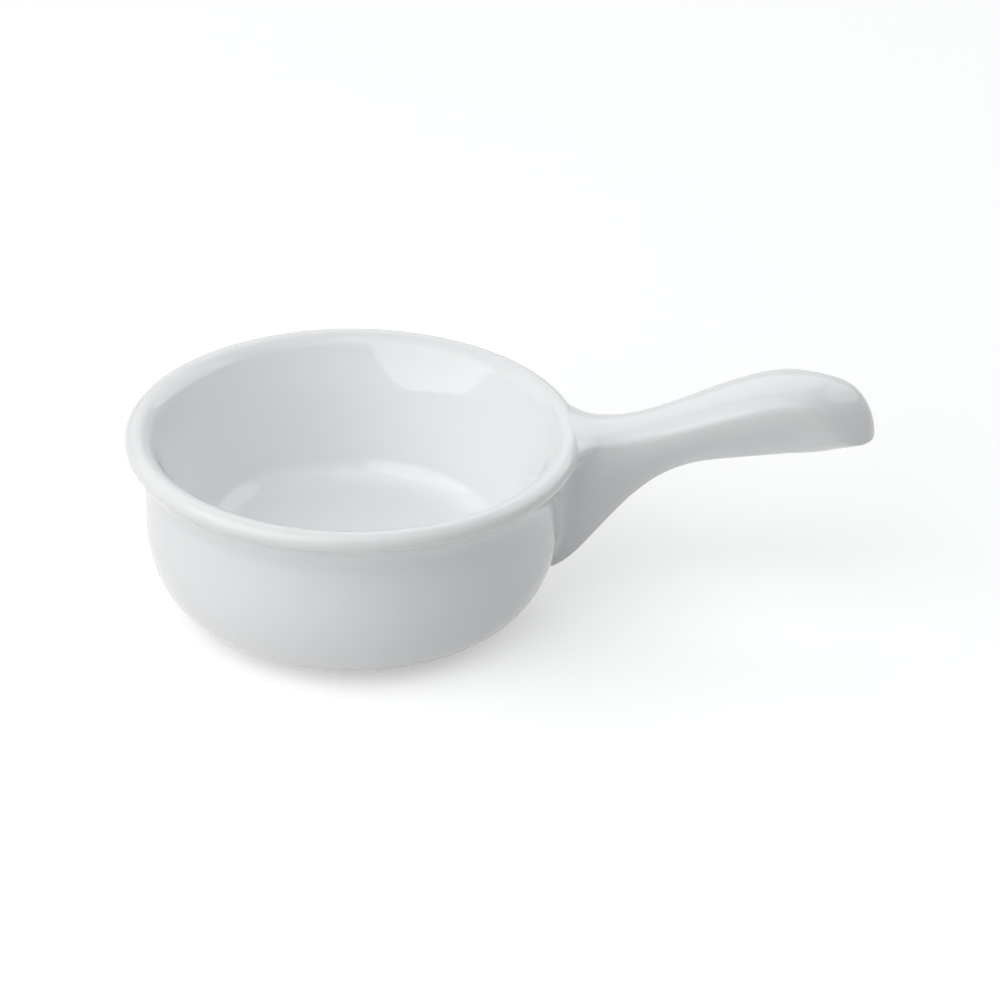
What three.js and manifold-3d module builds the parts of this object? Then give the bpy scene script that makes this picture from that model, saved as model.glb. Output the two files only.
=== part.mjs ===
// Sauce dish in white porcelain: a straight-sided bowl with a rolled lip and one solid handle.
// The bowl and the handle are cast apart and joined in the clay with a layer of slip.
// Millimetres, +Z up. The handle points along +X. The origin is on the table, under the
// middle of the overall length, and the bowl's own axis lies at x = axisX.

import * as THREE from "three";
import { mergeVertices } from "three/addons/utils/BufferGeometryUtils.js";
import Module from "manifold-3d";

const { lerp, smoothstep, clamp, degToRad } = THREE.MathUtils;

// Bowl
const rimRadius = 45; // outside of the lip
const bowlHeight = 39; // table to the crest of the lip
const lipRadius = 2; // round of the lip's outer edge
const lipOverhang = 3.9; // lip beyond the wall
const underLipRadius = 9; // hollow below the lip
const wallHeight = 6.7; // upright stretch between the hollow and the belly
const bellyWidth = 15.1; // the belly turns in this far, down to the foot ring
const bellyFullness = 2.24; // 2 is an ellipse, more is squarer
const innerLipRadius = 4; // round of the lip's inner edge
const innerLipTilt = degToRad(27); // slope from upright where that round ends
const wallThickness = 6.5; // where the inside has eased to its straight wall
const innerWallTilt = degToRad(9); // slope from upright of the straight wall
const innerCornerRadius = 6.5; // between the inside wall and the floor
const footRingWidth = 3;
const footHeight = 1.2; // upright side of the foot ring
const footEdge = 0.4; // bevel on both edges of the foot ring
const footRecess = 4; // hollow inside the foot ring
const recessLean = 1.8; // the recess narrows this much from its edge to its top
const floorThickness = 6.5;

// Handle: "out" is measured from the outside of the lip, heights from the crest of the lip
const handleReach = 58.8; // tip of the handle
const neckOut = 12; // narrowest place
const neckWidth = 12.1;
const rootFlareWidth = 1.5; // each side widens this much from the neck to the lip
const palmWidth = 16.7; // widest place
const endLength = 15.5; // rounded end, from the widest place to the tip
const riseOut = 4.6; // the top starts to climb here
const humpBack = 17; // highest place, back from the tip
const rootDrop = 0.02; // top of the root below the crest
const neckDip = 0.2; // the top sinks this much more before it climbs
const humpRise = 8.5; // top of the hump above the crest
const tipDroop = 3.9; // the top falls this much from the hump to the tip
const droopPower = 2.6; // how late it falls
const rootCrown = 2; // round of the top above the shoulders, at the lip
const neckCrown = 3; // the same at the neck
const humpCrown = 3.65; // the same at the hump
const shoulderSink = 20.8; // from the hump the shoulders sink to the underside over this length
const undersideDrop = 8.1; // underside below the crest, at the hump
const undersideFall = 0.06; // slope of the underside from the hump towards the bowl
const tipLift = 3.35; // the underside rises this much from the hump to the tip
const liftPower = 2.85; // how late it rises
const webOut = 31.1; // the deep web under the neck ends here
const webFootHeight = 6.6; // lowest place of the web, above the table
const webInset = 6; // that place lies this far inside the lip's outside
const webSweep = 1.69; // how late the web starts to fall
const crownFullness = 2.1; // section above the shoulders: 2 is an ellipse, more is squarer
const keelFullness = 2.45; // section below the shoulders
const keelTaper = 0.63; // share of the width lost from the shoulders to the underside
const endRound = 2; // plan of the rounded end: 2 is an ellipse, more is squarer
const endEdge = 5.8; // how long the end keeps its thickness
const shoulderFillet = 4.5; // fillet to the bowl at the shoulders
const keelFillet = 2; // fillet to the bowl at the bottom of the web

// Slip between the handle's root and the bowl
const slipThickness = 0.5;
const seatGap = 0.3; // on each side of the slip

// Fineness of the surfaces
const bowlSides = 64;
const handleSides = 40;
const rootRows = 12;
const handleRows = 20;

// Worked out from the sizes above
const wallRadius = rimRadius - lipOverhang;
const insideRadius = wallRadius - wallThickness;
const footRadius = wallRadius - bellyWidth;
const crestRadius = rimRadius - lipRadius;
const lipCentre = new THREE.Vector2(crestRadius, bowlHeight - lipRadius);
const hollowSide = wallRadius + underLipRadius - crestRadius;
const hollowDrop = Math.sqrt((lipRadius + underLipRadius) ** 2 - hollowSide ** 2);
const hollowCentre = new THREE.Vector2(crestRadius + hollowSide, lipCentre.y - hollowDrop);
const bellyHeight = hollowCentre.y - wallHeight;
const floorHeight = footRecess + floorThickness;
const palmOut = handleReach - endLength;
const humpOut = handleReach - humpBack;
const sinkOut = humpOut + shoulderSink;
const axisX = -handleReach / 2;

const wasm = await Module();
wasm.setup();

function solid(geometry) {
  const bare = geometry.clone();
  bare.deleteAttribute("normal");
  bare.deleteAttribute("uv");
  const merged = mergeVertices(bare, 1e-4);
  return new wasm.Manifold(
    new wasm.Mesh({
      numProp: 3,
      vertProperties: merged.attributes.position.array,
      triVerts: new Uint32Array(merged.index.array),
    }),
  );
}

function geometryOf(made) {
  const mesh = made.getMesh();
  const geometry = new THREE.BufferGeometry();
  geometry.setAttribute("position", new THREE.BufferAttribute(mesh.vertProperties, 3));
  geometry.setIndex(new THREE.BufferAttribute(mesh.triVerts, 1));
  geometry.computeVertexNormals();
  return geometry;
}

// Points from angle to angle on a circle
function arc(centre, radius, from, to, steps) {
  return Array.from({ length: steps + 1 }, (_, i) => {
    const angle = lerp(from, to, i / steps);
    return new THREE.Vector2(Math.cos(angle), Math.sin(angle)).multiplyScalar(radius).add(centre);
  });
}

// The belly's curve, a quarter of a superellipse from the foot up to the wall
function belly(reach, drop, steps) {
  return Array.from({ length: steps + 1 }, (_, i) => {
    const angle = (Math.PI / 2) * (1 - i / steps);
    const across = Math.max(Math.cos(angle), 0) ** (2 / bellyFullness);
    const down = Math.sin(angle) ** (2 / bellyFullness);
    return new THREE.Vector2(footRadius + reach * across, bellyHeight - drop * down);
  });
}

// Outside of the bowl from the foot ring up to the crest, pushed out by "grow"
function outside(grow = 0) {
  const meet = Math.atan2(hollowDrop, -hollowSide);
  return [
    ...belly(bellyWidth + grow, bellyHeight - footHeight + grow, 12),
    ...arc(hollowCentre, underLipRadius - grow, Math.PI, meet, 5),
    ...arc(lipCentre, lipRadius + grow, meet - Math.PI, Math.PI / 2, 10).slice(1),
  ];
}

// Inside of the bowl from the crest down: the lip's round, a long easing curve, the straight
// wall, the corner and the floor, each starting at the slope where the last one ends
function inside() {
  const lipInside = new THREE.Vector2(crestRadius, bowlHeight - innerLipRadius);
  const lipTurn = Math.PI - innerLipTilt;
  const wallTurn = Math.PI - innerWallTilt;
  const lipFoot = crestRadius + innerLipRadius * Math.cos(lipTurn);
  const easing = (lipFoot - insideRadius) / (Math.cos(lipTurn) - Math.cos(wallTurn));
  const easingCentre = new THREE.Vector2(
    lipFoot - easing * Math.cos(lipTurn),
    lipInside.y + (innerLipRadius - easing) * Math.sin(lipTurn),
  );
  const wallTop = easingCentre.y + easing * Math.sin(wallTurn);
  const cornerHeight = floorHeight + innerCornerRadius;
  const wallFoot = cornerHeight - innerCornerRadius * Math.sin(innerWallTilt);
  const wallFootRadius = insideRadius - (wallTop - wallFoot) * Math.tan(innerWallTilt);
  const cornerCentre = new THREE.Vector2(
    wallFootRadius - innerCornerRadius * Math.cos(innerWallTilt),
    cornerHeight,
  );
  return [
    ...arc(lipInside, innerLipRadius, Math.PI / 2, lipTurn, 7).slice(1),
    ...arc(easingCentre, easing, lipTurn, wallTurn, 6).slice(1),
    ...arc(cornerCentre, innerCornerRadius, -innerWallTilt, -Math.PI / 2, 8),
    new THREE.Vector2(0, floorHeight),
  ];
}

function foot() {
  const inner = footRadius - footRingWidth;
  return [
    new THREE.Vector2(0, footRecess),
    new THREE.Vector2(inner - recessLean, footRecess),
    new THREE.Vector2(inner, footEdge),
    new THREE.Vector2(inner + footEdge, 0),
    new THREE.Vector2(footRadius - footEdge, 0),
    new THREE.Vector2(footRadius, footEdge),
  ];
}

function turned(profile) {
  return new THREE.LatheGeometry(profile, bowlSides).rotateX(Math.PI / 2);
}

function bowl() {
  return turned([...foot(), ...outside(), ...inside()]);
}

// All that lies within the bowl's outside and above its mouth, pushed out by "grow"
function envelope(grow) {
  const skin = outside(grow);
  return solid(
    turned([
      new THREE.Vector2(0, skin[0].y),
      ...skin,
      new THREE.Vector2(crestRadius, 2 * bowlHeight),
      new THREE.Vector2(0, 2 * bowlHeight),
    ]),
  );
}

const skinPoints = outside();

// Radius of the bowl's outside at a height
function outsideRadius(z) {
  const above = skinPoints.findIndex((p) => p.y >= z);
  if (above < 0) return crestRadius;
  if (above === 0) return skinPoints[0].x;
  const low = skinPoints[above - 1];
  const high = skinPoints[above];
  return lerp(low.x, high.x, (z - low.y) / (high.y - low.y));
}

// Shares of the width and of the thickness that are left in the rounded end
function endShare(out) {
  const along = clamp((out - palmOut) / (handleReach - palmOut), 0, 1);
  return {
    plan: (1 - along ** endRound) ** (1 / endRound),
    edge: Math.sqrt(1 - along ** endEdge),
  };
}

function halfWidth(out) {
  const root = Math.max(0, (neckOut - out) / neckOut);
  const straight = lerp(neckWidth, palmWidth, smoothstep(out, neckOut, palmOut)) / 2;
  return straight + rootFlareWidth * Math.min(root, 1) ** 2;
}

// Share of the climb from the root to the hump
function climb(out) {
  return smoothstep(out, riseOut, humpOut);
}

// Share of the way from the hump to the tip
function pastHump(out) {
  return Math.max(0, (out - humpOut) / humpBack);
}

function topLine(out) {
  const dip = rootDrop + neckDip * smoothstep(out, -lipRadius, riseOut);
  const rise = (humpRise + rootDrop + neckDip) * climb(out);
  return rise - dip - tipDroop * pastHump(out) ** droopPower;
}

function underside(out) {
  const slope = undersideFall * Math.max(0, humpOut - out);
  return tipLift * pastHump(out) ** liftPower - undersideDrop - slope;
}

// The web hangs below the underside and is deepest inside the wall
function keel(out) {
  const deepest = bowlHeight - webFootHeight + underside(-webInset);
  const into = clamp((webOut - out) / (webOut + webInset), 0, 1);
  return underside(out) - deepest * smoothstep(into ** webSweep, 0, 1);
}

// Height of the rounded top above the shoulders, which sink to the underside near the tip
function crown(out) {
  const fromLip = smoothstep(out, -lipRadius, neckOut);
  const round = lerp(rootCrown, lerp(neckCrown, humpCrown, climb(out)), fromLip);
  const full = topLine(out) - underside(out);
  return lerp(round, full, smoothstep(out, humpOut, sinkOut));
}

// Point of the handle's section at a distance out, turned by an angle from the +Y shoulder
function sectionPoint(out, angle) {
  const { plan, edge } = endShare(out);
  const shoulder = topLine(out) - crown(out);
  const upper = Math.sin(angle) >= 0;
  const power = 2 / (upper ? crownFullness : keelFullness);
  const along = Math.abs(Math.sin(angle)) ** power;
  const taper = upper ? 1 : 1 - keelTaper * along ** 2;
  const across = Math.abs(Math.cos(angle)) ** power * Math.sign(Math.cos(angle)) * taper;
  const height = along * (upper ? crown(out) : keel(out) - shoulder);
  return new THREE.Vector3(
    rimRadius + out,
    halfWidth(out) * plan * across,
    bowlHeight + shoulder + edge * height,
  );
}

// Where the section at an angle meets the bowl's outside, as a distance out
function rootOut(angle) {
  let out = -lipOverhang;
  for (let step = 0; step < 60; step++) {
    const point = sectionPoint(out, angle);
    const reach = Math.sqrt(outsideRadius(point.z) ** 2 - point.y ** 2);
    out = lerp(out, reach - rimRadius, 0.3);
  }
  return out;
}

// The sides flare round the bowl along a quarter circle as they come near it
function flared(point, angle) {
  const radius = lerp(shoulderFillet, keelFillet, Math.max(0, -Math.sin(angle)));
  const fromAxis = Math.hypot(point.x, point.y);
  const near = 1 - clamp((fromAxis - outsideRadius(point.z)) / radius, 0, 1);
  const flare = radius * (1 - Math.sqrt(1 - near ** 2)) * Math.abs(Math.cos(angle)) ** 0.8;
  const turn = Math.atan2(point.y, point.x) + (Math.sign(Math.cos(angle)) * flare) / fromAxis;
  return point.set(fromAxis * Math.cos(turn), fromAxis * Math.sin(turn), point.z);
}

// The handle as rings of points from inside the wall to the tip, not yet cut to the bowl
function handleBlank() {
  const rootEnd = neckOut;
  const points = [];
  const triangles = [];
  const inset = wallThickness / 3;
  const angles = Array.from({ length: handleSides }, (_, i) => (2 * Math.PI * (i + 0.5)) / handleSides);
  const roots = angles.map(rootOut);
  const rings = [roots.map((out) => out - inset)];
  for (let row = 0; row <= rootRows; row++) {
    rings.push(roots.map((out) => lerp(out, rootEnd, (row / rootRows) ** 2)));
  }
  for (let row = 1; row < handleRows; row++) {
    const share = Math.sin(((row / handleRows) * Math.PI) / 2);
    rings.push(roots.map(() => lerp(rootEnd, handleReach, share)));
  }
  for (const ring of rings) {
    ring.forEach((out, i) => points.push(flared(sectionPoint(out, angles[i]), angles[i])));
  }
  const middle = points.push(new THREE.Vector3(wallRadius - wallThickness / 2, 0, bowlHeight / 2)) - 1;
  const tip = points.push(sectionPoint(handleReach, 0)) - 1;
  const last = (rings.length - 1) * handleSides;
  for (let i = 0; i < handleSides; i++) {
    const next = (i + 1) % handleSides;
    triangles.push(middle, next, i);
    for (let row = 0; row < rings.length - 1; row++) {
      const a = row * handleSides + i;
      const b = row * handleSides + next;
      triangles.push(a, b, b + handleSides, a, b + handleSides, a + handleSides);
    }
    triangles.push(tip, last + i, last + next);
  }
  const geometry = new THREE.BufferGeometry().setFromPoints(points);
  geometry.setIndex(triangles);
  return geometry;
}

const glaze = { color: 0xe9ebed, roughness: 0.12, metalness: 0 };
const bisque = { color: 0xded8cc, roughness: 0.75, metalness: 0 };

function piece(name, geometry, finish) {
  const mesh = new THREE.Mesh(geometry, new THREE.MeshStandardMaterial(finish));
  mesh.name = name;
  return mesh;
}

const blank = solid(handleBlank());
const slipOuter = seatGap + slipThickness;

const dish = new THREE.Group();
dish.add(piece("bowl", bowl(), glaze));
dish.add(piece("handle", geometryOf(blank.subtract(envelope(slipOuter + seatGap))), glaze));
dish.add(
  piece(
    "luting_slip",
    geometryOf(blank.intersect(envelope(slipOuter)).subtract(envelope(seatGap))),
    bisque,
  ),
);
dish.position.x = axisX;

const sauceDish = new THREE.Group();
sauceDish.add(dish);

export default sauceDish;
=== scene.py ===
# Sauce dish in glazed white porcelain, dressed over its CAD solids.
# Shapes are worked out in millimetres round the bowl's axis, then put into the frame in metres.
import math

import bpy
import numpy as np
from mathutils import Matrix, Vector


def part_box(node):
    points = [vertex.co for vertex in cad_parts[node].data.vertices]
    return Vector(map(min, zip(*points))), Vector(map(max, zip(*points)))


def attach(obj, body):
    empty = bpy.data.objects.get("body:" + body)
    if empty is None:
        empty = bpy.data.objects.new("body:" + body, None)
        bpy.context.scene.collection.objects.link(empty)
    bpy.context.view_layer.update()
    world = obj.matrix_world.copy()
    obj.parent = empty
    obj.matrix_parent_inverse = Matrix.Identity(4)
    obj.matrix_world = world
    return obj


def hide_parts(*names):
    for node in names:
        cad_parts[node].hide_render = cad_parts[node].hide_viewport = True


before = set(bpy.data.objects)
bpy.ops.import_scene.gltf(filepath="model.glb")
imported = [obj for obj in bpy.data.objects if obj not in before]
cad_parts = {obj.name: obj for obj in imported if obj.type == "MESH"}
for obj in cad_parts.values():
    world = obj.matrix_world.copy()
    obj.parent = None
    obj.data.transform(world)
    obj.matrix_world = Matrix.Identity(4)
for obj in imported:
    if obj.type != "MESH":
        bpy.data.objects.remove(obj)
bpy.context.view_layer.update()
mm = 0.001

bowlLow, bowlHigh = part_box("bowl")
handleLow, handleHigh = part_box("handle")
axisX = (bowlLow.x + bowlHigh.x) / 2  # the bowl's axis, in metres
rimRadius = (bowlHigh.y - bowlLow.y) / 2 / mm
bowlHeight = bowlHigh.z / mm
handleReach = (handleHigh.x - bowlHigh.x) / mm  # tip of the handle past the lip
frameSizes = (2 * rimRadius, bowlHeight, handleReach)
print("frame: lip %.1f mm across, %.1f mm high, handle %.1f mm" % frameSizes)


# Mesh helpers

def ease(x, start, end):  # 0 before start, 1 after end, level at both
    t = np.clip((x - start) / (end - start), 0, 1)
    return t * t * (3 - 2 * t)


def gridPiece(name, grid, firstPole, lastPole):
    # rows of points closed round on themselves, with a fan to one point at each end
    rows, sides, _ = grid.shape
    index = np.arange(rows * sides).reshape(rows, sides)
    beside = np.roll(index, -1, axis=1)
    quads = np.stack([index[:-1], beside[:-1], beside[1:], index[1:]], -1).reshape(-1, 4)
    first, last = rows * sides, rows * sides + 1
    opening = np.stack([np.full(sides, first), beside[0], index[0]], -1)
    closing = np.stack([np.full(sides, last), index[-1], beside[-1]], -1)
    points = np.vstack([grid.reshape(-1, 3), firstPole, lastPole]) * mm + [axisX, 0, 0]
    mesh = bpy.data.meshes.new(name)
    mesh.from_pydata(points.tolist(), [], quads.tolist() + opening.tolist() + closing.tolist())
    mesh.polygons.foreach_set("use_smooth", np.ones(len(mesh.polygons), bool))
    mesh.update()
    piece = bpy.data.objects.new(name, mesh)
    bpy.context.scene.collection.objects.link(piece)
    return piece


def markPoints(piece, name, values):  # one number per point, for the materials to read
    attribute = piece.data.attributes.new(name, "FLOAT", "POINT")
    attribute.data.foreach_set("value", np.asarray(values, np.float32).ravel())


# Bowl

bowl = dict(
    lipRadius=2.0,  # round of the lip's outer edge
    lipOverhang=3.9,
    hollowRadius=9.0,  # hollow below the lip
    wallHeight=6.7,  # upright stretch between the hollow and the belly
    bellyWidth=15.1,
    bellyFullness=2.24,  # 2 is an ellipse, more is squarer
    innerLipRadius=4.0,
    innerLipTilt=27.0,  # degrees from upright where the lip's inner round ends
    wallThickness=6.5,  # where the inside has eased to its straight wall
    innerWallTilt=9.0,
    innerCornerRadius=6.5,  # between the inside wall and the floor
    footRingWidth=3.0,
    footHeight=1.2,
    footRound=0.45,
    footRecess=4.0,
    recessLean=1.8,  # the recess narrows this much from its edge to its top
    floorThickness=6.5,
    bareHeight=0.25,  # the foot ring is bare clay up to here
    bareMargin=0.02,
    glazeLine=0.5,  # the line where the glaze ends fades over this length
    thinTurn=0.5,  # an edge that turns this fast, in radians a millimetre, has the thinnest glaze
    pooledTurn=0.25,  # and a hollow that turns this fast the thickest
    sides=256,
)

wallRadius = rimRadius - bowl["lipOverhang"]
insideRadius = wallRadius - bowl["wallThickness"]
crestRadius = rimRadius - bowl["lipRadius"]
footRadius = wallRadius - bowl["bellyWidth"]
lipCentre = np.array([crestRadius, bowlHeight - bowl["lipRadius"]])
hollowSide = wallRadius + bowl["hollowRadius"] - crestRadius
hollowDrop = math.sqrt((bowl["lipRadius"] + bowl["hollowRadius"]) ** 2 - hollowSide ** 2)
hollowCentre = lipCentre + [hollowSide, -hollowDrop]
bellyHeight = hollowCentre[1] - bowl["wallHeight"]
floorHeight = bowl["footRecess"] + bowl["floorThickness"]


def arc(centre, radius, start, end, count):  # points on a circle, angles in radians
    angle = np.linspace(start, end, count)
    return np.array(centre) + radius * np.stack([np.cos(angle), np.sin(angle)], -1)


def straight(start, end, count):
    return np.linspace(start, end, count)


def bellyCurve(reach, drop, count, begin=0.0):
    # quarter superellipse: |across/reach|^n + |down/drop|^n = 1, from the foot up to the wall
    power = 2 / bowl["bellyFullness"]
    angle = np.linspace(math.acos((begin / reach) ** (1 / power)), 0, count)
    across = np.abs(np.cos(angle)) ** power
    down = np.abs(np.sin(angle)) ** power
    return np.stack([footRadius + reach * across, bellyHeight - drop * down], -1)


def outsideCurve():
    # belly, upright wall, hollow and lip, from the foot ring up to the crest
    meet = math.atan2(hollowDrop, -hollowSide)
    return np.vstack([
        bellyCurve(bowl["bellyWidth"], bellyHeight - bowl["footHeight"], 64, bowl["footRound"]),
        straight([wallRadius, bellyHeight], [wallRadius, hollowCentre[1]], 10)[1:],
        arc(hollowCentre, bowl["hollowRadius"], math.pi, meet, 24)[1:],
        arc(lipCentre, bowl["lipRadius"], meet - math.pi, math.pi / 2, 40)[1:],
    ])


def footCurve():
    # underside from the axis: recess, a round ring that stands on the table, and up to the belly
    inner = footRadius - bowl["footRingWidth"]
    rounding, recess = bowl["footRound"], bowl["footRecess"]
    recessEdge = inner - bowl["recessLean"]
    return np.vstack([
        straight([0.5, recess], [recessEdge - rounding, recess], 14),
        arc([recessEdge - rounding, recess - rounding], rounding, math.pi / 2, math.pi / 8, 8)[1:],
        arc([inner + rounding, rounding], rounding, 1.125 * math.pi, 1.5 * math.pi, 10),
        straight([inner + rounding, 0], [footRadius - rounding, 0], 6)[1:],
        arc([footRadius - rounding, rounding], rounding, -math.pi / 2, 0, 10)[1:],
        arc([footRadius + rounding, bowl["footHeight"] - rounding], rounding, math.pi, math.pi / 2, 8),
    ])


def insideCurve():
    # lip's inner round, long easing curve, straight wall, corner and floor,
    # each starting at the slope where the last one ends
    lipRadius, cornerRadius = bowl["innerLipRadius"], bowl["innerCornerRadius"]
    lean = math.radians(bowl["innerWallTilt"])
    lipTurn, wallTurn = math.pi - math.radians(bowl["innerLipTilt"]), math.pi - lean
    lipFoot = crestRadius + lipRadius * math.cos(lipTurn)
    easing = (lipFoot - insideRadius) / (math.cos(lipTurn) - math.cos(wallTurn))
    easingCentre = [
        lipFoot - easing * math.cos(lipTurn),
        bowlHeight - lipRadius + (lipRadius - easing) * math.sin(lipTurn),
    ]
    cornerHeight = floorHeight + cornerRadius
    wallTop = easingCentre[1] + easing * math.sin(wallTurn)
    wallFoot = cornerHeight - cornerRadius * math.sin(lean)
    wallFootRadius = insideRadius - (wallTop - wallFoot) * math.tan(lean)
    cornerCentre = [wallFootRadius - cornerRadius * math.cos(lean), cornerHeight]
    return np.vstack([
        arc([crestRadius, bowlHeight - lipRadius], lipRadius, math.pi / 2, lipTurn, 36)[1:],
        arc(easingCentre, easing, lipTurn, wallTurn, 28)[1:],
        straight([insideRadius, wallTop], [wallFootRadius, wallFoot], 10)[1:],
        arc(cornerCentre, cornerRadius, -lean, -math.pi / 2, 44)[1:],
        straight([cornerCentre[0], floorHeight], [0.5, floorHeight], 22)[1:],
    ])


def turnOf(curve):
    # how fast a curve turns, in radians a millimetre: above 0 on an edge, below 0 in a hollow
    step = np.diff(curve, axis=0)
    heading = np.unwrap(np.arctan2(step[:, 1], step[:, 0]))
    length = np.linalg.norm(step, axis=1)
    turn = np.zeros(len(curve))
    window = 7  # points in the running mean
    turn[1:-1] = np.diff(heading) / np.maximum((length[1:] + length[:-1]) / 2, 1e-6)
    return np.convolve(np.pad(turn, window // 2, mode="edge"), np.ones(window) / window, "valid")


def makeBowl():
    # surface of revolution: the profile turned once round the axis
    foot, outside, inside = footCurve(), outsideCurve(), insideCurve()
    profile = np.vstack([foot, outside[1:], inside])
    angle = np.linspace(0, 2 * math.pi, bowl["sides"], endpoint=False)
    radius, height = profile[:, :1], profile[:, 1:]
    grid = np.stack([
        radius * np.cos(angle),
        radius * np.sin(angle),
        height * np.ones(bowl["sides"]),
    ], -1)
    piece = gridPiece("glazed_bowl", grid, [0, 0, bowl["footRecess"]], [0, 0, floorHeight])
    turn = turnOf(profile)
    halfRing = bowl["footRingWidth"] / 2
    fromRing = np.maximum(np.abs(profile[:, 0] - footRadius + halfRing) - halfRing, 0)
    away = np.hypot(fromRing, np.maximum(profile[:, 1] - bowl["bareHeight"], 0))
    away[len(foot) + len(outside):] = np.inf  # the inside is glazed all over
    marks = {
        "thinGlaze": np.clip(turn / bowl["thinTurn"], 0, 1),
        "pooledGlaze": np.clip(-turn / bowl["pooledTurn"], 0, 1),
        "bareClay": away < bowl["bareMargin"],
        "glazeEdge": np.exp(-away / bowl["glazeLine"]),
    }
    for name, values in marks.items():
        spread = np.repeat(np.asarray(values, float), bowl["sides"])
        markPoints(piece, name, np.append(spread, [0, 0]))
    print("bowl:", len(piece.data.polygons), "faces")
    return piece


# Handle

handle = dict(
    neckOut=12.0,  # narrowest place, out from the lip
    neckWidth=12.1,
    rootFlareWidth=1.5,
    palmWidth=16.7,
    endLength=15.5,  # rounded end, from the widest place to the tip
    riseOut=4.6,
    humpBack=17.0,  # highest place, back from the tip
    rootDrop=0.02,
    neckDip=0.2,
    humpRise=8.48,
    tipDroop=3.9,
    droopPower=2.6,
    rootCrown=2.0,
    neckCrown=3.0,
    humpCrown=3.65,
    shoulderSink=20.8,  # from the hump the shoulders sink to the underside over this length
    undersideDrop=8.1,
    undersideFall=0.06,
    tipLift=3.35,
    liftPower=2.85,
    webOut=31.1,
    webFootHeight=6.6,
    webInset=6.0,
    webSweep=1.69,
    crownFullness=2.1,
    keelFullness=2.45,
    keelTaper=0.63,  # share of the width lost from the shoulders to the underside
    endRound=2.0,
    endEdge=5.8,
    shoulderFillet=4.5,
    keelFillet=2.0,
    filletFade=0.8,  # how the fillets die away towards the crown and the keel
    rootInset=0.3,  # the root ends this far inside the wall
    rootTries=60,
    rootStep=0.3,  # share of the way that each try goes
    pooledReach=2.5,  # glaze pools about this far out from the wall
    tipReach=4.0,  # and thins over this length to the tip
    shoulderThin=0.6,
    shoulderSharpness=12,  # more keeps the thin glaze closer to the shoulders
    sides=144,
    rootRows=64,
    rows=110,
)
skin = outsideCurve()


def outsideRadius(height):
    return np.interp(height, skin[:, 1], skin[:, 0])


def undersideAt(out):
    humpOut = handleReach - handle["humpBack"]
    past = np.maximum(out - humpOut, 0) / handle["humpBack"]
    slope = handle["undersideFall"] * np.maximum(humpOut - out, 0)
    return handle["tipLift"] * past ** handle["liftPower"] - handle["undersideDrop"] - slope


def handleSection(out, turn):
    # superellipse with a rounded crown above the shoulders and a deep, narrowing keel below them
    h = handle
    palmOut, humpOut = handleReach - h["endLength"], handleReach - h["humpBack"]
    along = np.clip((out - palmOut) / h["endLength"], 0, 1)
    plan = np.maximum(1 - along ** h["endRound"], 0) ** (1 / h["endRound"])
    edge = np.sqrt(np.maximum(1 - along ** h["endEdge"], 0))
    toRoot = np.clip((h["neckOut"] - out) / h["neckOut"], 0, 1)
    width = h["neckWidth"] + (h["palmWidth"] - h["neckWidth"]) * ease(out, h["neckOut"], palmOut)
    half = (width / 2 + h["rootFlareWidth"] * toRoot ** 2) * plan
    climb = ease(out, h["riseOut"], humpOut)
    past = np.maximum(out - humpOut, 0) / h["humpBack"]
    dip = h["rootDrop"] + h["neckDip"] * ease(out, -bowl["lipRadius"], h["riseOut"])
    rise = h["humpRise"] + h["rootDrop"] + h["neckDip"]
    top = rise * climb - dip - h["tipDroop"] * past ** h["droopPower"]
    underside = undersideAt(out)
    atRoot = 1 - ease(out, -bowl["lipRadius"], h["neckOut"])
    crown = h["neckCrown"] + (h["humpCrown"] - h["neckCrown"]) * climb
    crown = crown + (h["rootCrown"] - crown) * atRoot
    crown = crown + (top - underside - crown) * ease(out, humpOut, humpOut + h["shoulderSink"])
    shoulder = top - crown
    deepest = bowlHeight - h["webFootHeight"] + undersideAt(-h["webInset"])
    into = np.clip((h["webOut"] - out) / (h["webOut"] + h["webInset"]), 0, 1)
    keel = underside - deepest * ease(into ** h["webSweep"], 0, 1)
    upper = np.sin(turn) >= 0
    power = np.where(upper, 2 / h["crownFullness"], 2 / h["keelFullness"])
    across = np.sign(np.cos(turn)) * np.abs(np.cos(turn)) ** power
    upright = np.abs(np.sin(turn)) ** power
    across = across * np.where(upper, 1, 1 - h["keelTaper"] * upright ** 2)
    height = np.where(upper, crown, keel - shoulder) * upright
    return half * across, bowlHeight + shoulder + edge * height


def rootLine(turn):
    # how far out each line along the handle meets the bowl, closing in on it step by step
    out = np.full(turn.shape, -bowl["lipOverhang"])
    step = handle["rootStep"]
    for _ in range(handle["rootTries"]):
        y, z = handleSection(out, turn)
        out = (1 - step) * out + step * (np.sqrt(outsideRadius(z) ** 2 - y ** 2) - rimRadius)
    return out


def flareOf(away, turn):
    # quarter circle that spreads the sides round the bowl as they come near it
    shoulder, keel = handle["shoulderFillet"], handle["keelFillet"]
    radius = shoulder + (keel - shoulder) * np.maximum(-np.sin(turn), 0)
    near = 1 - np.clip(away / radius, 0, 1)
    return radius * (1 - np.sqrt(1 - near ** 2)) * np.abs(np.cos(turn)) ** handle["filletFade"]


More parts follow.
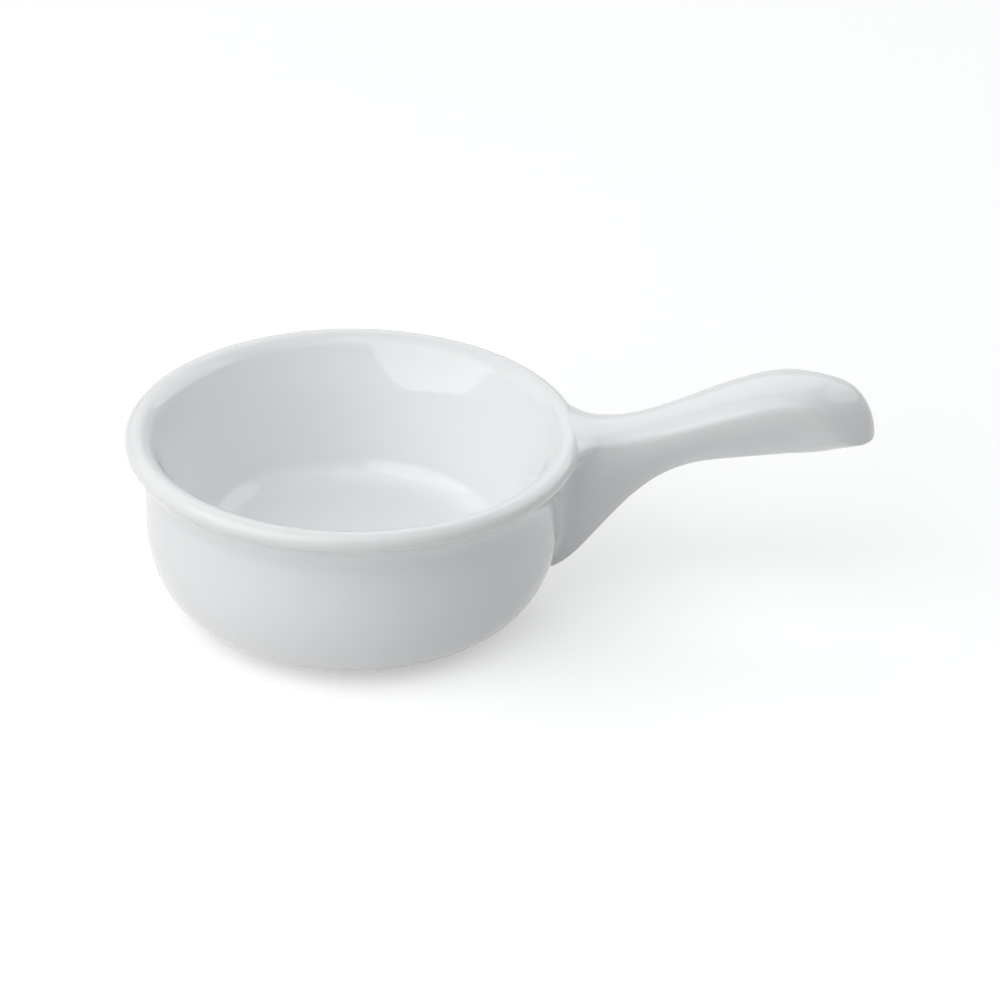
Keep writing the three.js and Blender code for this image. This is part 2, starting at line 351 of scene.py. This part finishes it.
def makeHandle():
    # sections from inside the wall to the tip, flared round the bowl at the root
    turn = 2 * math.pi * (np.arange(handle["sides"]) + 0.5) / handle["sides"]
    root = rootLine(turn)
    share = np.linspace(0, 1, handle["rootRows"])[:, None] ** 2
    sweep = np.sin(np.linspace(0, math.pi / 2, handle["rows"])[1:-1, None])
    pastNeck = handle["neckOut"] + (handleReach - handle["neckOut"]) * sweep
    out = np.vstack([
        root - handle["rootInset"],
        root + (handle["neckOut"] - root) * share,
        np.repeat(pastNeck, handle["sides"], axis=1),
    ])
    turns = np.broadcast_to(turn, out.shape)
    y, z = handleSection(out, turns)
    fromAxis = np.hypot(rimRadius + out, y)
    away = fromAxis - outsideRadius(z)
    spread = np.sign(np.cos(turns)) * flareOf(away, turns) / fromAxis
    azimuth = np.arctan2(y, rimRadius + out) + spread
    grid = np.stack([fromAxis * np.cos(azimuth), fromAxis * np.sin(azimuth), z], -1)
    _, tipHeight = handleSection(np.array([handleReach]), np.array([0.0]))
    inside = [wallRadius - bowl["wallThickness"] / 2, 0, bowlHeight / 2]
    piece = gridPiece("glazed_handle", grid, inside, [rimRadius + handleReach, 0, tipHeight[0]])
    pooled = np.exp(-np.maximum(away, 0) / handle["pooledReach"])
    ends = np.clip((out - handleReach + handle["tipReach"]) / handle["tipReach"], 0, 1)
    shoulders = handle["shoulderThin"] * np.abs(np.cos(turns)) ** handle["shoulderSharpness"]
    thin = np.clip(shoulders + ends, 0, 1) * (1 - pooled)
    for name, values in {"pooledGlaze": pooled, "thinGlaze": thin}.items():
        markPoints(piece, name, np.append(values.ravel(), [0, 1]))
    print("handle:", len(piece.data.polygons), "faces")
    return piece


# Slip between the handle's root and the bowl

slip = dict(gap=0.3, thickness=0.5, share=0.9, sides=96, rings=24)


def makeSlip():
    # two sheets parallel to the bowl's outside, joined at the rim of the root's footprint
    turn = 2 * math.pi * np.arange(slip["sides"]) / slip["sides"]
    out = rootLine(turn)
    y, z = handleSection(out, turn)
    middle = (z.max() + z.min()) / 2
    reach = slip["share"] * np.linspace(0.02, 1, slip["rings"])[:, None]
    reach = np.vstack([reach, reach[::-1]])
    lift = np.repeat([[slip["gap"]], [slip["gap"] + slip["thickness"]]], slip["rings"], axis=0)
    height = middle + reach * (z - middle)
    azimuth = reach * np.arctan2(y, rimRadius + out)
    radius = outsideRadius(height) + lift
    grid = np.stack([radius * np.cos(azimuth), radius * np.sin(azimuth), height], -1)
    near = outsideRadius(middle) + slip["gap"]
    piece = gridPiece(
        "slip_layer", grid[:, ::-1], [near, 0, middle], [near + slip["thickness"], 0, middle])
    print("slip:", len(piece.data.polygons), "faces")
    return piece


# Materials

def newGroup(name, inputs, outputs):
    group = bpy.data.node_groups.new(name, "ShaderNodeTree")
    for label, kind, value in inputs:
        socket = group.interface.new_socket(label, in_out="INPUT", socket_type=kind)
        if value is not None:
            socket.default_value = value
    for label, kind in outputs:
        group.interface.new_socket(label, in_out="OUTPUT", socket_type=kind)
    return group, group.nodes.new("NodeGroupInput").outputs, group.nodes.new("NodeGroupOutput").inputs


def addNode(tree, kind, links=None, **settings):
    node = tree.nodes.new(kind)
    for key, value in settings.items():
        setattr(node, key, value)
    for key, value in (links or {}).items():
        if isinstance(value, bpy.types.NodeSocket):
            tree.links.new(value, node.inputs[key])
        else:
            node.inputs[key].default_value = value
    return node


def mathNode(tree, operation, first, second):
    return addNode(tree, "ShaderNodeMath", {0: first, 1: second}, operation=operation).outputs[0]


def mixColours(tree, factor, first, second):  # sockets 6, 7 and 2 are the colour ones
    node = addNode(tree, "ShaderNodeMix", data_type="RGBA")
    for key, value in ((0, factor), (6, first), (7, second)):
        if isinstance(value, bpy.types.NodeSocket):
            tree.links.new(value, node.inputs[key])
        else:
            node.inputs[key].default_value = value
    return node.outputs[2]


glazeShares = dict(
    thinColour=0.55,
    pooledColour=0.6,
    cloudColour=0.35,
    cloudRoughness=0.05,
    thinRoughness=0.03,
    peelHeight=0.03,
)
clayShares = dict(
    stainScale=0.06,  # of the grain's scale
    stainColour=0.18,
)


def glazeGroup():
    # clear glaze over white clay: clouds of thickness, orange peel, thin on edges and pooled in hollows
    group, given, put = newGroup(
        "glaze over clay",
        [
            ("Position", "NodeSocketVector", None),
            ("Thin", "NodeSocketFloat", 0.0),
            ("Pooled", "NodeSocketFloat", 0.0),
            ("Body Colour", "NodeSocketColor", None),
            ("Thin Colour", "NodeSocketColor", None),
            ("Pooled Colour", "NodeSocketColor", None),
            ("Cloud Scale", "NodeSocketFloat", 60.0),
            ("Peel Scale", "NodeSocketFloat", 700.0),
            ("Gloss Roughness", "NodeSocketFloat", 0.06),
        ],
        [("Colour", "NodeSocketColor"), ("Roughness", "NodeSocketFloat"), ("Height", "NodeSocketFloat")],
    )
    cloud = addNode(group, "ShaderNodeTexNoise", {
        "Vector": given["Position"], "Scale": given["Cloud Scale"], "Detail": 2.0, "Roughness": 0.45})
    peel = addNode(group, "ShaderNodeTexNoise", {
        "Vector": given["Position"], "Scale": given["Peel Scale"], "Detail": 1.0, "Roughness": 0.4})
    cloudy = mathNode(group, "SUBTRACT", cloud.outputs["Fac"], 0.5)
    thinShare = mathNode(group, "MULTIPLY", given["Thin"], glazeShares["thinColour"])
    pools = mathNode(group, "MULTIPLY", given["Pooled"], glazeShares["pooledColour"])
    clouds = mathNode(group, "MULTIPLY", cloudy, glazeShares["cloudColour"])
    pooledShare = mathNode(group, "ADD", pools, clouds)
    clay = mixColours(group, thinShare, given["Body Colour"], given["Thin Colour"])
    group.links.new(mixColours(group, pooledShare, clay, given["Pooled Colour"]), put["Colour"])
    cloudRough = mathNode(group, "MULTIPLY", cloudy, glazeShares["cloudRoughness"])
    thinRough = mathNode(group, "MULTIPLY", given["Thin"], glazeShares["thinRoughness"])
    rough = mathNode(group, "ADD", given["Gloss Roughness"], cloudRough)
    group.links.new(mathNode(group, "ADD", rough, thinRough), put["Roughness"])
    bumps = mathNode(group, "MULTIPLY", peel.outputs["Fac"], glazeShares["peelHeight"])
    group.links.new(mathNode(group, "ADD", cloudy, bumps), put["Height"])
    return group


def bareClayGroup():
    # fired clay without glaze: fine grain, dark specks and faint stains, matt
    group, given, put = newGroup(
        "bare clay",
        [
            ("Position", "NodeSocketVector", None),
            ("Clay Colour", "NodeSocketColor", None),
            ("Speck Colour", "NodeSocketColor", None),
            ("Grain Scale", "NodeSocketFloat", 2200.0),
        ],
        [("Colour", "NodeSocketColor"), ("Roughness", "NodeSocketFloat"), ("Height", "NodeSocketFloat")],
    )
    grain = addNode(group, "ShaderNodeTexNoise", {
        "Vector": given["Position"], "Scale": given["Grain Scale"], "Detail": 4.0, "Roughness": 0.65})
    stainScale = mathNode(group, "MULTIPLY", given["Grain Scale"], clayShares["stainScale"])
    stains = addNode(group, "ShaderNodeTexNoise", {
        "Vector": given["Position"], "Scale": stainScale, "Detail": 3.0})
    specks = addNode(group, "ShaderNodeMapRange", {
        "Value": grain.outputs["Fac"], "From Min": 0.62, "From Max": 0.75, "To Min": 0.0, "To Max": 0.5})
    stained = mathNode(group, "MULTIPLY", stains.outputs["Fac"], clayShares["stainColour"])
    toned = mathNode(group, "ADD", specks.outputs[0], stained)
    group.links.new(mixColours(group, toned, given["Clay Colour"], given["Speck Colour"]), put["Colour"])
    rough = addNode(group, "ShaderNodeMapRange", {
        "Value": grain.outputs["Fac"], "To Min": 0.68, "To Max": 0.9})
    group.links.new(rough.outputs[0], put["Roughness"])
    group.links.new(grain.outputs["Fac"], put["Height"])
    return group


porcelain = dict(
    body=(0.912, 0.918, 0.924, 1),
    thin=(0.918, 0.92, 0.918, 1),
    pooled=(0.885, 0.897, 0.906, 1),
    edge=(0.74, 0.66, 0.55, 1),  # line where the glaze ends at the foot
    edgeShare=0.5,
    refraction=1.52,
    clay=(0.80, 0.77, 0.71, 1),
    speck=(0.60, 0.55, 0.47, 1),
    wave=0.00004,  # height of the glaze's waves, in metres
    grain=0.00003,
)


def newMaterial(name):
    material = bpy.data.materials.new(name)
    material.use_nodes = True
    tree = material.node_tree
    tree.nodes.clear()
    shader = tree.nodes.new("ShaderNodeBsdfPrincipled")
    output = tree.nodes.new("ShaderNodeOutputMaterial")
    tree.links.new(shader.outputs[0], output.inputs[0])
    position = tree.nodes.new("ShaderNodeTexCoord").outputs["Object"]
    return material, tree, shader, position


def markSocket(tree, name):
    return addNode(tree, "ShaderNodeAttribute", attribute_name=name).outputs["Fac"]


def glazedMaterial(name, group, cloudScale, withFootLine):
    material, tree, shader, position = newMaterial(name)
    glaze = addNode(tree, "ShaderNodeGroup", node_tree=group)
    for key, value in {
        "Position": position,
        "Thin": markSocket(tree, "thinGlaze"),
        "Pooled": markSocket(tree, "pooledGlaze"),
    }.items():
        tree.links.new(value, glaze.inputs[key])
    glaze.inputs["Body Colour"].default_value = porcelain["body"]
    glaze.inputs["Thin Colour"].default_value = porcelain["thin"]
    glaze.inputs["Pooled Colour"].default_value = porcelain["pooled"]
    glaze.inputs["Cloud Scale"].default_value = cloudScale
    colour = glaze.outputs["Colour"]
    if withFootLine:
        line = mathNode(tree, "MULTIPLY", markSocket(tree, "glazeEdge"), porcelain["edgeShare"])
        colour = mixColours(tree, line, colour, porcelain["edge"])
    tree.links.new(colour, shader.inputs["Base Color"])
    tree.links.new(glaze.outputs["Roughness"], shader.inputs["Roughness"])
    bump = addNode(tree, "ShaderNodeBump", {
        "Height": glaze.outputs["Height"], "Distance": porcelain["wave"]})
    tree.links.new(bump.outputs[0], shader.inputs["Normal"])
    shader.inputs["IOR"].default_value = porcelain["refraction"]
    return material


def clayMaterial(name, group, grainScale):
    material, tree, shader, position = newMaterial(name)
    clay = addNode(tree, "ShaderNodeGroup", node_tree=group)
    tree.links.new(position, clay.inputs["Position"])
    clay.inputs["Clay Colour"].default_value = porcelain["clay"]
    clay.inputs["Speck Colour"].default_value = porcelain["speck"]
    clay.inputs["Grain Scale"].default_value = grainScale
    tree.links.new(clay.outputs["Colour"], shader.inputs["Base Color"])
    tree.links.new(clay.outputs["Roughness"], shader.inputs["Roughness"])
    bump = addNode(tree, "ShaderNodeBump", {
        "Height": clay.outputs["Height"], "Distance": porcelain["grain"]})
    tree.links.new(bump.outputs[0], shader.inputs["Normal"])
    return material


# The dish put together

def bareFaces(piece):  # faces whose points all stand on the table's ring
    marks = np.zeros(len(piece.data.vertices), np.float32)
    piece.data.attributes["bareClay"].data.foreach_get("value", marks)
    corners = np.zeros(len(piece.data.loops), np.int32)
    piece.data.loops.foreach_get("vertex_index", corners)
    starts = np.zeros(len(piece.data.polygons), np.int32)
    piece.data.polygons.foreach_get("loop_start", starts)
    return np.minimum.reduceat(marks[corners], starts) > 0.5


glaze, bareClay = glazeGroup(), bareClayGroup()
bowlPiece, handlePiece, slipPiece = makeBowl(), makeHandle(), makeSlip()
bowlPiece.data.materials.append(glazedMaterial("bowl glaze", glaze, 55.0, True))
bowlPiece.data.materials.append(clayMaterial("bare foot ring", bareClay, 2200.0))
bowlPiece.data.polygons.foreach_set("material_index", bareFaces(bowlPiece).astype(np.int32))
handlePiece.data.materials.append(glazedMaterial("handle glaze", glaze, 75.0, False))
slipPiece.data.materials.append(clayMaterial("fired slip", bareClay, 1600.0))
for piece, node, slot in (
    (bowlPiece, "bowl", "glazed_porcelain"),
    (handlePiece, "handle", "glazed_porcelain"),
    (slipPiece, "luting_slip", "fired_slip"),
):
    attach(piece, "root")
    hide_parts(node)
print("dish: glazed")


# Studio

studio = dict(
    floorSize=6.0,
    floorColour=(0.80, 0.80, 0.80, 1),
    floorLift=0.42,  # brings the lit floor up to white for the camera and in reflections
    worldLight=0.0,
    lampAim=(0.0, 0.0, 0.02),
    softboxColour=(1.0, 1.0, 1.0),
    panelColour=(0.965, 0.985, 1.0),  # the panels shine a little cooler
)
lamps = dict(  # azimuth 0 stands on the camera's side and 90 at the handle's end, in degrees
    keySoftbox=dict(azimuth=304, elevation=33, distance=1.1, size=(1.5, 1.2), power=7.7),
    highLeftPanel=dict(azimuth=295, elevation=72, distance=1.6, size=(1.6, 1.3), power=4.4),
    lowLeftPanel=dict(azimuth=240, elevation=38, distance=1.6, size=(1.5, 1.2), power=3.4),
    backPanel=dict(azimuth=180, elevation=40, distance=1.6, size=(1.6, 1.2), power=3.6),
    rightPanel=dict(azimuth=112, elevation=35, distance=1.6, size=(1.8, 1.2), power=7.5),
    frontPanel=dict(azimuth=0, elevation=62, distance=1.6, size=(1.4, 1.0), power=2.3),
    rightFrontPanel=dict(azimuth=60, elevation=40, distance=1.6, size=(1.4, 1.2), power=1.0),
)


def seenShare(tree):  # 1 for the camera, and for what gloss and glass show of the background
    path = tree.nodes.new("ShaderNodeLightPath")
    seen = mathNode(tree, "MAXIMUM", path.outputs["Is Camera Ray"], path.outputs["Is Glossy Ray"])
    return mathNode(tree, "MAXIMUM", seen, path.outputs["Is Transmission Ray"])


def makeFloor():
    half = studio["floorSize"] / 2
    mesh = bpy.data.meshes.new("studio_floor")
    corners = [(-half, -half, 0), (half, -half, 0), (half, half, 0), (-half, half, 0)]
    mesh.from_pydata(corners, [], [(0, 1, 2, 3)])
    floor = bpy.data.objects.new("studio_floor", mesh)
    bpy.context.scene.collection.objects.link(floor)
    material, tree, shader, _ = newMaterial("studio floor")
    shader.inputs["Base Color"].default_value = studio["floorColour"]
    shader.inputs["Roughness"].default_value = 0.9
    shader.inputs["Specular IOR Level"].default_value = 0.0
    shader.inputs["Emission Color"].default_value = (1, 1, 1, 1)
    lift = mathNode(tree, "MULTIPLY", seenShare(tree), studio["floorLift"])
    tree.links.new(lift, shader.inputs["Emission Strength"])
    mesh.materials.append(material)


def makeWorld():
    world = bpy.data.worlds.new("studio")
    bpy.context.scene.world = world
    world.use_nodes = True
    tree = world.node_tree
    background = tree.nodes["Background"]
    seen = seenShare(tree)
    strength = addNode(tree, "ShaderNodeMapRange", {
        "Value": seen, "To Min": studio["worldLight"], "To Max": 1.0})
    tree.links.new(strength.outputs[0], background.inputs["Strength"])
    background.inputs["Color"].default_value = (1, 1, 1, 1)


def makeLamp(name, azimuth, elevation, distance, size, power):
    turn, tilt = math.radians(azimuth), math.radians(elevation)
    outward = Vector((math.sin(turn) * math.cos(tilt), -math.cos(turn) * math.cos(tilt), math.sin(tilt)))
    light = bpy.data.lights.new(name, "AREA")
    light.shape = "ELLIPSE"
    light.size, light.size_y = size
    light.energy = power
    light.color = studio["softboxColour" if name == "keySoftbox" else "panelColour"]
    lamp = bpy.data.objects.new(name, light)
    lamp.location = Vector(studio["lampAim"]) + distance * outward
    lamp.rotation_euler = (-outward).to_track_quat("-Z", "Y").to_euler()
    bpy.context.scene.collection.objects.link(lamp)


makeFloor()
makeWorld()
for name, settings in lamps.items():
    makeLamp(name, **settings)

view = dict(
    azimuth=5.53,  # degrees, 0 looks along +Y
    elevation=28.48,
    roll=0.93,
    distance=1.2467,
    aim=(0.0293, 0.0, 0.0220),  # from the bowl's axis
    lens=225.9,
    sensorWidth=36.0,
)


def makeCamera():
    turn, tilt, roll = (math.radians(view[key]) for key in ("azimuth", "elevation", "roll"))
    forward = Vector((math.sin(turn) * math.cos(tilt), math.cos(turn) * math.cos(tilt), -math.sin(tilt)))
    right = forward.cross(Vector((0, 0, 1))).normalized()
    up = right.cross(forward)
    rolledRight = math.cos(roll) * right + math.sin(roll) * up
    rolledUp = math.cos(roll) * up - math.sin(roll) * right
    camera = bpy.data.objects.new("camera", bpy.data.cameras.new("camera"))
    camera.data.lens = view["lens"]
    camera.data.sensor_width = view["sensorWidth"]
    axes = Matrix((rolledRight, rolledUp, -forward)).transposed()
    place = Vector((axisX, 0, 0)) + Vector(view["aim"]) - view["distance"] * forward
    camera.matrix_world = Matrix.Translation(place) @ axes.to_4x4()
    bpy.context.scene.collection.objects.link(camera)
    bpy.context.scene.camera = camera


makeCamera()
bpy.context.scene.view_settings.view_transform = "Standard"
print("studio: lit")
